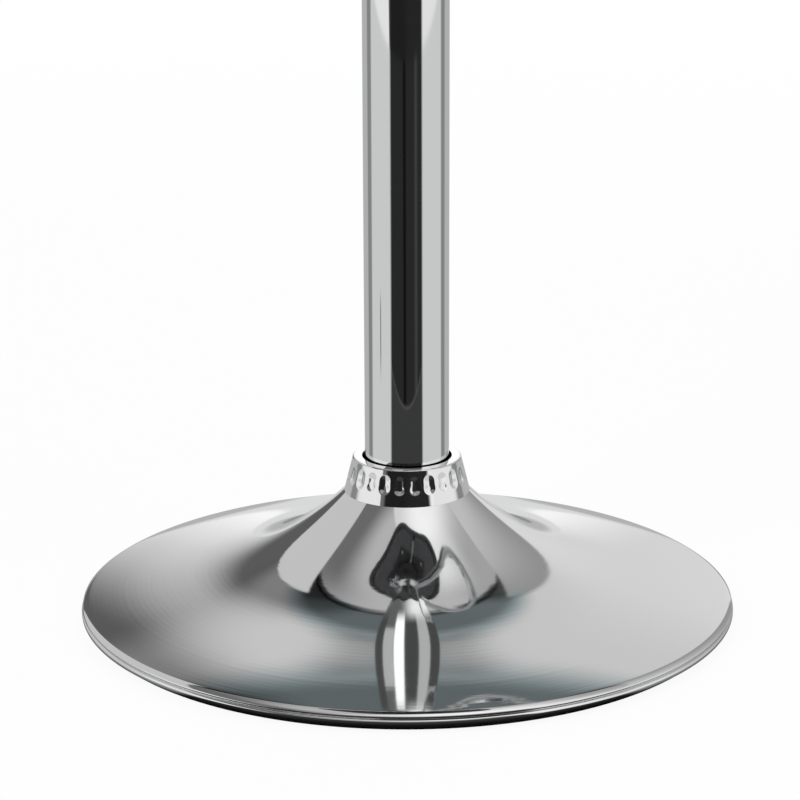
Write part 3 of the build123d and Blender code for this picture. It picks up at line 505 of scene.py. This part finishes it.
# Release lever. A zinc-plated rod, bent down to clear the seat plate, turning on a pin in the forked bracket.
# A ribbed plastic knob is pushed on its end.
lever_height, handle_height, lever_radius = 0.7363, 0.7180, 0.0040
lever_inner, shoulder_out, drop_run, lever_reach, lever_bend = 0.005, 0.066, 0.026, 0.162, 0.015
drop = lever_height - handle_height
drop_turn = math.atan2(drop, drop_run)
bend_trim = lever_bend * math.tan(drop_turn / 2)
bm = bmesh.new()
edge_loop = section(bm, lever_radius, (0, lever_inner, lever_height), (0, -1, 0), 24)
edge_loop = drawn(bm, edge_loop, (0, bend_trim - shoulder_out - lever_inner, 0))
bend_at = (0, bend_trim - shoulder_out, lever_height - lever_bend)
edge_loop = bent(bm, edge_loop, bend_at, (1, 0, 0), drop_turn, 10)
slope_left = math.hypot(drop, drop_run) - 2 * bend_trim
edge_loop = drawn(bm, edge_loop, (0, -slope_left * math.cos(drop_turn), -slope_left * math.sin(drop_turn)))
bend_at = (0, -shoulder_out - drop_run - bend_trim, handle_height + lever_bend)
edge_loop = bent(bm, edge_loop, bend_at, (1, 0, 0), -drop_turn, 10)
edge_loop = drawn(bm, edge_loop, (0, shoulder_out + drop_run + bend_trim - lever_reach, 0))
bmesh.ops.holes_fill(bm, edges=bm.edges[:], sides=24)
eye_radius, eye_half, pivot_arm = 0.0065, 0.005, 0.026
eye_place = Matrix.Translation((0, -pivot_arm, lever_height)) @ Matrix.Rotation(math.pi / 2, 4, "Y")
eye = bmesh.ops.create_cone(bm, cap_ends=True, segments=40, radius1=eye_radius, radius2=eye_radius,
                            depth=2 * eye_half, matrix=eye_place)["verts"]
soften(bm, [edge for edge in edges_of(eye) if abs(edge.verts[0].co.x - edge.verts[1].co.x) < 1e-6], 0.0007)
bmesh.ops.recalc_face_normals(bm, faces=bm.faces[:])
put("release_lever_zinc", bm, "lever", zinc, "zinc_steel", "release_lever")
knob_radius, knob_length, knob_root = 0.008, 0.044, 0.128
rib_count, first_rib, rib_pitch, rib_depth = 7, 0.008, 0.0036, 0.0009
bm = bmesh.new()
end = pen(bm, None, (lever_radius, 0), (knob_radius - 0.001, 0), (knob_radius, 0.004))
for rib in range(rib_count):
    foot = first_rib + rib * rib_pitch
    root = knob_radius - rib_depth
    end = pen(bm, end, (knob_radius, foot), (root, foot + 0.0006), (root, foot + 0.0014),
              (knob_radius, foot + 0.0020))
end = pen(bm, end, (knob_radius, knob_length), (0, knob_length))
ease(bm, [(knob_radius, knob_length)], 0.0052, 8)
ease(bm, [(knob_radius - 0.001, 0)], 0.0006, 3)
turn(bm, 64)
bmesh.ops.transform(bm, verts=bm.verts[:], matrix=Matrix.Translation((0, -knob_root, handle_height))
                    @ Matrix.Rotation(math.pi / 2, 4, "X"))
put("lever_knob_black", bm, "lever", nylon, "black_plastic", "lever_knob", crease=50)

# Seat board. Birch plywood under the padding, with bare plies at its edge.
plywood = Finish("birch_plywood", specular_ior_level=0.25)
ply_split = plywood.node("ShaderNodeSeparateXYZ", {}, [plywood.place], 2)
ply_layer = (ply_split * 380.0).math("FRACT").ramp(0.4, 0.6)
wood_grain = plywood.noise(18.0, 6.0, plywood.stretched((1, 14, 1)))
ply_tone = plywood.blend(wood_grain, (0.62, 0.46, 0.29), (0.46, 0.31, 0.17))
plywood.feed("Base Color", plywood.blend(ply_layer * 0.5, ply_tone, (0.30, 0.19, 0.10)))
plywood.feed("Roughness", wood_grain * 0.2 + 0.6)
plywood.emboss(wood_grain, 0.0004, 0.4)
paint(plywood, "seat_board")

# Padded seat. Moulded foam on the board under a sewn cover of black leatherette: a domed top panel and a side
# band that meet in a piped seam, with stitches on each side of it. The cover is pulled tight over the foam.
leather = Finish("black_leatherette", specular_ior_level=0.5)
pebble = leather.node("ShaderNodeTexVoronoi", {"feature": "SMOOTH_F1"},
                      {"Vector": leather.place, "Scale": 620.0, "Smoothness": 0.6}, "Distance")
creases = leather.noise(46.0, 5.0)
handled = leather.noise(7.0, 3.0).ramp(0.4, 0.7)
leather.feed("Base Color", leather.blend(pebble.ramp(0.1, 0.6) * 0.6 + handled * 0.2, (0.013, 0.013, 0.014),
                                         (0.030, 0.030, 0.032)))
leather.feed("Roughness", pebble.ramp(0.1, 0.6) * 0.14 + handled * 0.08 + 0.34)
leather.emboss(pebble * 0.5 + creases * 1.5, 0.0006, 0.55)
seat_foot, pad_height, pad_half, pad_corner = 0.7493, 0.0665, 0.1785, 0.0960
crown_radius, side_pull, foot_pull, edge_round = 0.900, 0.0050, 0.0010, 0.014
foot_drop, drop_border, drop_share = 0.0015, 0.006, 0.12
seam_half, seam_corner, seam_drop, seam_hold, most_swell = 0.1735, 0.0910, 0.0085, 0.0045, 0.007


def dome(x, y):
    """Height of the seat's domed top before it swells."""
    return seat_foot + pad_height - (x * x + y * y) / (2 * crown_radius)


def outside(x, y, half, corner):
    """Distance of a point outside a rounded square, less than nought inside."""
    over_x, over_y = abs(x) - half + corner, abs(y) - half + corner
    return math.hypot(max(over_x, 0), max(over_y, 0)) + min(max(over_x, over_y), 0) - corner


def rounded_block(bm, half, corner, foot, top, segments=12):
    """A square block with round upright corners."""
    size = (2 * half, 2 * half, top - foot)
    place = Matrix.LocRotScale((0, 0, (foot + top) / 2), None, size)
    block = bmesh.ops.create_cube(bm, size=1.0, matrix=place)["verts"]
    uprights = [e for e in edges_of(block) if abs(e.verts[0].co.z - e.verts[1].co.z) > 1e-6]
    soften(bm, uprights, corner, segments)


def as_shown(piece):
    """A mesh of a piece as its modifiers show it."""
    return bpy.data.meshes.new_from_object(piece.evaluated_get(bpy.context.evaluated_depsgraph_get()))


bm = bmesh.new()
rounded_block(bm, pad_half, pad_corner, seat_foot, seat_foot + pad_height)
pad = put("seat_pad_leather", bm, "seat", leather, "seat_leather", "seat_cover", "seat_foam")
remesh = pad.modifiers.new("even_mesh", "REMESH")
remesh.mode = "VOXEL"
remesh.voxel_size = 0.005
even = as_shown(pad)
pad.modifiers.clear()
pad.data = even
held = pad.vertex_groups.new(name="held")
for vert in even.vertices:
    x, y, z = vert.co
    share = (z - seat_foot) / pad_height
    pull = side_pull if share > 0.5 else foot_pull
    tuck = 1 - pull * (2 * share - 1) ** 2 / pad_half
    roof = dome(x * tuck, y * tuck)
    fall = max(outside(x, y, pad_half, pad_corner) + edge_round, 0)
    roof -= edge_round - math.sqrt(max(edge_round ** 2 - min(fall, edge_round) ** 2, 0))
    z = seat_foot + share * (roof - seat_foot)
    near_edge = max(1 + outside(x, y, pad_half, pad_corner) / drop_border, 0)
    z -= foot_drop * min(near_edge, 1) * max(1 - share / drop_share, 0)
    vert.co = (x * tuck, y * tuck, z)
    to_seam = outside(x * tuck, y * tuck, seam_half, seam_corner)
    under_seam = z - dome(x, y) + seam_drop
    if math.hypot(to_seam, under_seam) < seam_hold or share < 0.02:
        held.add([vert.index], 1.0, "REPLACE")
even.shade_smooth()
before = [vert.co.copy() for vert in even.vertices]
cloth = pad.modifiers.new("cover", "CLOTH")
cloth.settings.use_pressure = True
cloth.settings.uniform_pressure_force = 4.0
cloth.settings.effector_weights.gravity = 0.0
cloth.settings.vertex_group_mass = "held"
cloth.collision_settings.use_collision = False
for step in range(1, 21):
    bpy.context.scene.frame_set(step)
swollen = as_shown(pad)
pad.modifiers.clear()
pad.data = swollen
bpy.context.scene.frame_set(1)
for vert, at_first in zip(swollen.vertices, before):
    swell = vert.co - at_first
    if swell.length > most_swell:
        vert.co = at_first + swell * (most_swell / swell.length)
swollen.shade_smooth()
finer = pad.modifiers.new("finer", "SUBSURF")
finer.levels = finer.render_levels = 1
welt_radius, round_handle = 0.0027, 0.5523
seam = bpy.data.curves.new("seam", "CURVE")
seam.dimensions = "3D"
seam.resolution_u = 16
spline = seam.splines.new("BEZIER")
spline.bezier_points.add(11)
straight = seam_half - seam_corner
handle = round_handle * seam_corner
for quarter in range(4):
    swing = Matrix.Rotation(quarter * math.pi / 2, 3, "Z")
    for index, y in enumerate((-straight, 0, straight)):
        x = seam_half
        point = spline.bezier_points[quarter * 3 + index]
        back = handle if index == 0 else straight / 3
        forth = handle if index == 2 else straight / 3
        point.handle_left_type = point.handle_right_type = "FREE"
        point.co = swing @ Vector((x, y, dome(x, y) - seam_drop))
        point.handle_left = swing @ Vector((x, y - back, dome(x, y - back) - seam_drop))
        point.handle_right = swing @ Vector((x, y + forth, dome(x, y + forth) - seam_drop))
spline.use_cyclic_u = True
seam_line = bpy.data.objects.new("seam", seam)
bpy.context.scene.collection.objects.link(seam_line)
seam_points = [vert.co.copy() for vert in as_shown(seam_line).vertices]
seam.bevel_depth = welt_radius
seam.bevel_resolution = 4
bpy.context.view_layer.update()
welt_mesh = as_shown(seam_line)
bpy.data.objects.remove(seam_line)
bm = bmesh.new()
bm.from_mesh(welt_mesh)
bmesh.ops.remove_doubles(bm, verts=bm.verts[:], dist=1e-6)
bmesh.ops.recalc_face_normals(bm, faces=bm.faces[:])
put("seat_piping", bm, "seat", leather, "seat_leather")
thread = Finish("sewing_thread", specular_ior_level=0.3)
twist = thread.noise(1500.0, 2.0)
thread.feed("Base Color", thread.blend(twist, (0.020, 0.020, 0.021), (0.045, 0.045, 0.047)))
thread.feed("Roughness", twist * 0.2 + 0.5)
stitch_pitch, stitch_half, stitch_radius = 0.0052, 0.0019, 0.00035
bm = bmesh.new()
bpy.context.view_layer.update()
surface = pad.evaluated_get(bpy.context.evaluated_depsgraph_get())
travelled, due = 0.0, 0.0
for here, after in zip(seam_points, seam_points[1:] + seam_points[:1]):
    stretch = (after - here).length
    while due < travelled + stretch:
        at = here.lerp(after, (due - travelled) / stretch)
        along = (after - here).normalized()
        outwards = along.cross(Vector((0, 0, 1)))
        on_band = at + outwards * 0.004 - Vector((0, 0, 0.010))
        on_top = at - outwards * 0.009 + Vector((0, 0, 0.006))
        for probe in (on_band, on_top):
            spot, facing = surface.closest_point_on_mesh(probe)[1:3]
            lie = Matrix((along, facing.cross(along), facing)).transposed().to_4x4()
            shape = Matrix.Diagonal((stitch_half, stitch_radius, stitch_radius, 1))
            place = Matrix.Translation(spot) @ lie @ shape
            bmesh.ops.create_icosphere(bm, subdivisions=1, radius=1.0, matrix=place)
        due += stitch_pitch
    travelled += stretch
put("seat_stitches", bm, "seat", thread, "seat_leather", crease=80)

# Underside of the seat. The cover is turned in under the board in pleats, with a lip over the board's edge,
# and a black non-woven dust cloth is stapled over its raw edge.
hem_foot, hem_half, hem_corner, hem_inner = 0.7478, 0.1765, 0.0965, 0.1545
lip_half, lip_corner, lip_wall, lip_rise = 0.1773, 0.0975, 0.0013, 0.7535
pleat_height, pleats_round, pleats_from = 0.0004, 60, 0.05


def hollow_block(bm, half, corner, foot, top, wall):
    """A rounded square frame of an even width."""
    rounded_block(bm, half, corner, foot, top, 24)
    bm.normal_update()
    soles = [face for face in bm.faces if abs(face.normal.z) > 0.9 and len(face.edges) > 4]
    bmesh.ops.inset_individual(bm, faces=soles, thickness=wall, use_even_offset=True)
    rims = {edge for face in soles for edge in face.edges}
    bmesh.ops.delete(bm, geom=soles, context="FACES_ONLY")
    bmesh.ops.bridge_loops(bm, edges=list(rims))


bm = bmesh.new()
hollow_block(bm, hem_half, hem_corner, hem_foot, seat_foot - 0.0001, hem_half - hem_inner)
hollow_block(bm, lip_half, lip_corner, hem_foot + 0.0002, lip_rise, lip_wall)
for vert in bm.verts:
    if vert.co.z < hem_foot + 0.0005 and outside(vert.co.x, vert.co.y, hem_inner, 0.09) < 0.004:
        in_corner = max(min(abs(vert.co.x), abs(vert.co.y)) / pleats_from - 1, 0)
        wave = 1 + math.sin(pleats_round * math.atan2(vert.co.y, vert.co.x))
        vert.co.z += pleat_height * min(in_corner, 1) * wave
bmesh.ops.recalc_face_normals(bm, faces=bm.faces[:])
put("seat_hem", bm, "seat", leather, "seat_leather")
felt = Finish("non_woven", specular_ior_level=0.15)
fibres = felt.noise(700.0, 6.0)
bonds = felt.node("ShaderNodeTexVoronoi", {}, {"Vector": felt.place, "Scale": 480.0, "Randomness": 0.2},
                  "Distance")
felt.feed("Base Color", felt.blend(fibres, (0.045, 0.045, 0.047), (0.085, 0.085, 0.088)))
felt.feed("Roughness", fibres * 0.1 + 0.85)
felt.emboss(bonds.ramp(0.1, 0.45) + fibres * 0.4, 0.0003, 0.7)
cloth_half, cloth_corner, cloth_foot, cloth_top = 0.1525, 0.0836, 0.7485, 0.7492
bm = bmesh.new()
rounded_block(bm, cloth_half, cloth_corner, cloth_foot, cloth_top, 16)
dust_sheet = put("dust_cloth_felt", bm, "seat", felt, "underside_cloth", "dust_cloth")
staple_half, staple_wide, staple_proud, staple_inset = 0.005, 0.0006, 0.0004, 0.006
staples_a_side, staple_step = 7, 0.030
bm = bmesh.new()
for quarter in range(4):
    swing = Matrix.Rotation(quarter * math.pi / 2, 4, "Z")
    for index in range(staples_a_side):
        along = (index - (staples_a_side - 1) / 2) * staple_step
        over = max(abs(along) - cloth_half + cloth_corner, 0)
        inset = cloth_corner - math.sqrt(cloth_corner ** 2 - over ** 2) + staple_inset
        tilt = math.copysign(math.asin(min(over / cloth_corner, 1)), along)
        tilt += 0.12 * math.sin(7.0 * index + quarter)
        place = swing @ Matrix.Translation((cloth_half - inset, along, cloth_foot - staple_proud / 2))
        place = place @ Matrix.Rotation(tilt, 4, "Z")
        place = place @ Matrix.Diagonal((staple_wide, 2 * staple_half, staple_proud, 1))
        staple = bmesh.ops.create_cube(bm, size=1.0, matrix=place)["verts"]
        soften(bm, edges_of(staple), 0.00015, 2)
staples = put("dust_cloth_staples", bm, "seat", zinc, "zinc_steel")

# Studio. A pale floor and a white surround for the camera. What the chrome mirrors is a photographer's set: a
# lit wall behind, a flat on each side, a soft ceiling over a dark beam, and the dim room behind the camera.
heading = math.radians(22.5)
per_radian = math.degrees(1.0)


def gap(value, low, high, soft):
    """One inside low to high, nought outside, with soft edges."""
    return value.ramp(low - soft, low + soft) * value.ramp(high - soft, high + soft, 1.0, 0.0)


class Surround(Finish):
    """The world's or the floor's node tree, written like a material."""

    def __init__(self, tree):
        self.tree = tree
        tree.nodes.clear()

    def close(self, kind, shader):
        self.tree.links.new(shader.socket, self.tree.nodes.new(kind).inputs[0])


world = bpy.data.worlds.new("studio")
bpy.context.scene.world = world
world.use_nodes = True
room = Surround(world.node_tree)
aim = room.node("ShaderNodeTexCoord", {}, {}, "Generated")
aim = room.node("ShaderNodeMapping", {}, {"Vector": aim, "Rotation": (0, 0, heading)})
split = room.node("ShaderNodeSeparateXYZ", {}, [aim], 0)
across, along, rise = [Wire(room, split.socket.node.outputs[i]) for i in range(3)]
azimuth = across.math("ARCTAN2", along) * per_radian
side = azimuth.math("ABSOLUTE")
lift = rise.math("ARCSINE") * per_radian
# The wall behind the stool, with a dark strip on its left, a dip below the beam and a bright foot.
back_wall = lift.ramp(20.0, 38.0, 0.68, 0.60) * lift.ramp(39.5, 49.5, 1.0, 0.225)
back_wall = back_wall + azimuth.ramp(6.0, 24.0, 0.0, 0.06) * lift.ramp(8.0, 30.0, 1.0, 0.2)
strip = (azimuth - lift.ramp(26.0, 38.0, 2.5, 0.0)).ramp(-22.5, -11.0, 1.0, 0.0)
back_wall = back_wall * (1 - strip * lift.ramp(26.0, 36.0, 0.84, 0.64))
back_wall = back_wall * (1 - side.ramp(22.0, 30.0, 0.0, 0.65) * lift.ramp(46.0, 49.0))
back_wall = back_wall - side.ramp(5.0, 11.0, 0.17, 0.0) * gap(lift, 41.0, 45.0, 1.3)
back_wall = back_wall + side.ramp(3.0, 11.0, 1.0, 0.0) * lift.ramp(18.0, 38.0, 0.4, 0.0)
# The ceiling, brighter on the right, and the dark beam that bounds it.
low_roof = azimuth.ramp(-56.0, -4.0, 0.15, 0.48) - azimuth.ramp(20.0, 34.0, 0.0, 0.10)
low_roof = low_roof + azimuth.ramp(60.0, 110.0, 0.0, 0.5)
high_roof = azimuth.ramp(10.0, 66.0, 0.47, 0.78) + azimuth.ramp(80.0, 115.0, 0.0, 0.18)
roof_share = lift.ramp(57.0, 73.0)
roof = low_roof * (1 - roof_share) + high_roof * roof_share
beam = 59.6 - (side / 40.0) ** 2.0 * 7.6
level = back_wall + (roof - back_wall) * (lift - beam).ramp(-0.5, 0.5)
beam_mask = (lift - beam).math("ABSOLUTE").ramp(0.9, 2.3, 1.0, 0.0)
beam_mask = beam_mask * azimuth.ramp(-47.0, -42.0) * azimuth.ramp(35.0, 40.0, 1.0, 0.0)
beam_mask = beam_mask * side.ramp(6.0, 24.0, 0.6, 0.9)
level = level * (1 - beam_mask)
# A flat on each side, whose straight top edge dips away from its middle.
left_flat = azimuth.ramp(-30.2, -28.8, 1.0, 0.0)
right_flat = azimuth.ramp(25.0, 27.2)
flat_top = ((side - 46.0) / per_radian).math("COSINE") * 1.209
flat_top = flat_top.math("ARCTANGENT") * per_radian
flat_mask = (left_flat + right_flat) * (flat_top - lift).ramp(-0.5, 0.5)
flats = left_flat * 0.575 + right_flat * azimuth.ramp(22.0, 68.0, 0.29, 0.55)
flats = flats + side.ramp(66.0, 86.0) * lift.ramp(24.0, 40.0, 0.26, 0.0)
level = level * (1 - flat_mask) + flats * flat_mask
# The room behind the camera: dark low down, with a dim wall and a lit ceiling.
front = side.ramp(134.0, 141.0)
overhead = lift.ramp(46.0, 64.0, 0.02, 1.0) * across.ramp(-0.2, 0.2, 0.68, 0.95)
overhead = overhead + gap(lift, 23.0, 50.0, 6.0) * 0.24 * across.ramp(-0.6, 0.6, 1.35, 0.75)
level = level + (overhead - level) * front
# The column stands higher than the base, so its own mirror image shows the lamps over the flats' tops.
sweep = azimuth + azimuth.math("LESS_THAN", 0.0) * 360.0
lamps = gap(sweep, 192.0, 230.0, 2.5) * 1.2 + gap(sweep, 92.0, 139.0, 4.0) * 0.42
lamps = lamps + gap(sweep, 232.5, 278.0, 2.0) * lift.ramp(49.0, 53.0, 0.42, 0.06) + 0.07
ceiling = across.ramp(-0.3, 0.3, 0.13, 0.98)
over_column = lamps + (ceiling - lamps) * lift.ramp(54.0, 66.0)
bounces = room.node("ShaderNodeLightPath", {}, {}, "Glossy Depth")
level = level + (over_column - level) * bounces.ramp(1.4, 1.6) * lift.ramp(32.0, 38.0)
cool = gap(lift, 44.0, 58.0, 3.0) * side.ramp(26.0, 32.0, 1.0, 0.0)
tint = room.blend(cool, (1.0, 0.995, 0.985), (0.86, 1.0, 1.03))
studio_light = room.node("ShaderNodeBackground", {}, {"Color": tint, "Strength": level})
even_light = room.node("ShaderNodeBackground", {}, {"Color": (1, 1, 1, 1), "Strength": 0.55})
white = room.node("ShaderNodeBackground", {}, {"Color": (1, 1, 1, 1), "Strength": 1.0})
path = room.node("ShaderNodeLightPath", {}, {}, "Is Camera Ray")
glossy = Wire(room, path.socket.node.outputs["Is Glossy Ray"])
mixed = room.node("ShaderNodeMixShader", {}, [glossy, even_light, studio_light])
room.close("ShaderNodeOutputWorld", room.node("ShaderNodeMixShader", {}, [path, mixed, white]))

# The floor. The camera sees pale paper with a soft shadow. The chrome mirrors a glow painted on it
# by bearing and reach: painted light behind the stool, painted shade in front, with the paper's edge and a
# lamp stand's painted shadow on it.
bm = bmesh.new()
bmesh.ops.create_circle(bm, cap_ends=True, radius=30.0, segments=96)
mesh = bpy.data.meshes.new("studio_floor")
bm.to_mesh(mesh)
bm.free()
floor = bpy.data.objects.new("studio_floor", mesh)
floor.rotation_euler = (0, 0, -heading)
bpy.context.scene.collection.objects.link(floor)
floor_paint = bpy.data.materials.new("studio_floor")
floor_paint.use_nodes = True
mesh.materials.append(floor_paint)
ground = Surround(floor_paint.node_tree)
spot = ground.node("ShaderNodeTexCoord", {}, {}, "Object")
split = ground.node("ShaderNodeSeparateXYZ", {}, [spot], 0)
across, along = [Wire(ground, split.socket.node.outputs[i]) for i in range(2)]
reach = (across * across + along * along) ** 0.5
compass = across.math("ARCTAN2", along) * per_radian
bearing = compass.math("ABSOLUTE")
mirror_floor = bearing.ramp(14.0, 20.0, 0.72, 0.46) - gap(bearing, 58.0, 75.0, 3.0) * 0.22
mirror_floor = mirror_floor + gap(bearing, 77.0, 160.0, 2.0) * 0.16
stand_shadow = gap(compass, -108.3, -105.9, 0.7) * gap(reach, 0.64, 1.00, 0.09)
mirror_floor = mirror_floor * (1 - stand_shadow * 0.85)
dark_room = bearing.ramp(135.0, 141.0)
room_floor = 0.022 - gap(compass, -179.0, -171.5, 1.5) * 0.015 + gap(compass, 152.0, 158.0, 4.0) * 0.034
paper = along.ramp(-0.515, -0.500)
room_floor = room_floor + (0.043 - room_floor) * paper + gap(along, -0.509, -0.499, 0.003) * 0.045
mirror_floor = mirror_floor + (room_floor - mirror_floor) * dark_room
# Painted shade: the mirrored floor darkens towards the base, where the stool's own shadow would fall.
mirror_floor = mirror_floor * reach.ramp(0.190, 0.23, 0.15, 1.0)
# Painted shade: the floor seen after two mirrorings, as under the footrest, is dimmed to half.
bounces = ground.node("ShaderNodeLightPath", {}, {}, "Glossy Depth")
mirror_floor = mirror_floor * bounces.ramp(1.4, 1.6, 1.0, 0.5)
pale = ground.node("ShaderNodeBsdfDiffuse", {}, {"Color": (0.86, 0.86, 0.86, 1)})
lit = ground.node("ShaderNodeEmission", {}, {"Color": (1, 1, 1, 1), "Strength": 1.0})
mirrored = ground.node("ShaderNodeEmission", {}, {"Color": (1, 1, 1, 1), "Strength": mirror_floor})
path = ground.node("ShaderNodeLightPath", {}, {}, "Is Camera Ray")
glossy = Wire(ground, path.socket.node.outputs["Is Glossy Ray"])
mixed = ground.node("ShaderNodeMixShader", {}, [path * reach.ramp(0.9, 3.0, 0.93, 1.0), pale, lit])
ground.close("ShaderNodeOutputMaterial", ground.node("ShaderNodeMixShader", {}, [glossy, mixed, mirrored]))


def soft_box(name, at, towards, size, watts):
    """A square soft lamp that lights the matt pieces and isn't mirrored in the chrome."""
    light = bpy.data.lights.new(name, "AREA")
    light.energy = watts
    light.size = size
    lamp = bpy.data.objects.new(name, light)
    bpy.context.scene.collection.objects.link(lamp)
    lamp.location = at
    lamp.rotation_euler = (Vector(towards) - Vector(at)).to_track_quat("-Z", "Y").to_euler()
    lamp.visible_glossy = False


soft_box("key_lamp", (-2.0, -1.0, 2.3), (0, 0, 0.35), 1.2, 34)
soft_box("fill_lamp", (1.2, -1.8, 1.5), (0, 0, 0.35), 1.4, 14)
soft_box("back_lamp", (1.1, 1.7, 2.0), (0, 0, 0.4), 1.4, 16)

# Camera. It looks down at the base as in the photograph, a little to the left of the stool's front.
camera = bpy.data.cameras.new("camera")
camera.lens = 117.0
camera.sensor_width = 36.0
eye = bpy.data.objects.new("camera", camera)
bpy.context.scene.collection.objects.link(eye)
eye.matrix_world = (Matrix.Rotation(-heading, 4, "Z") @ Matrix.Translation((-0.0040, -1.4764, 0.5497))
                    @ Matrix.Rotation(math.radians(90 - 15.88), 4, "X")
                    @ Matrix.Rotation(math.radians(-0.196), 4, "Z"))
bpy.context.scene.camera = eye
bpy.context.scene.view_settings.view_transform = "Standard"
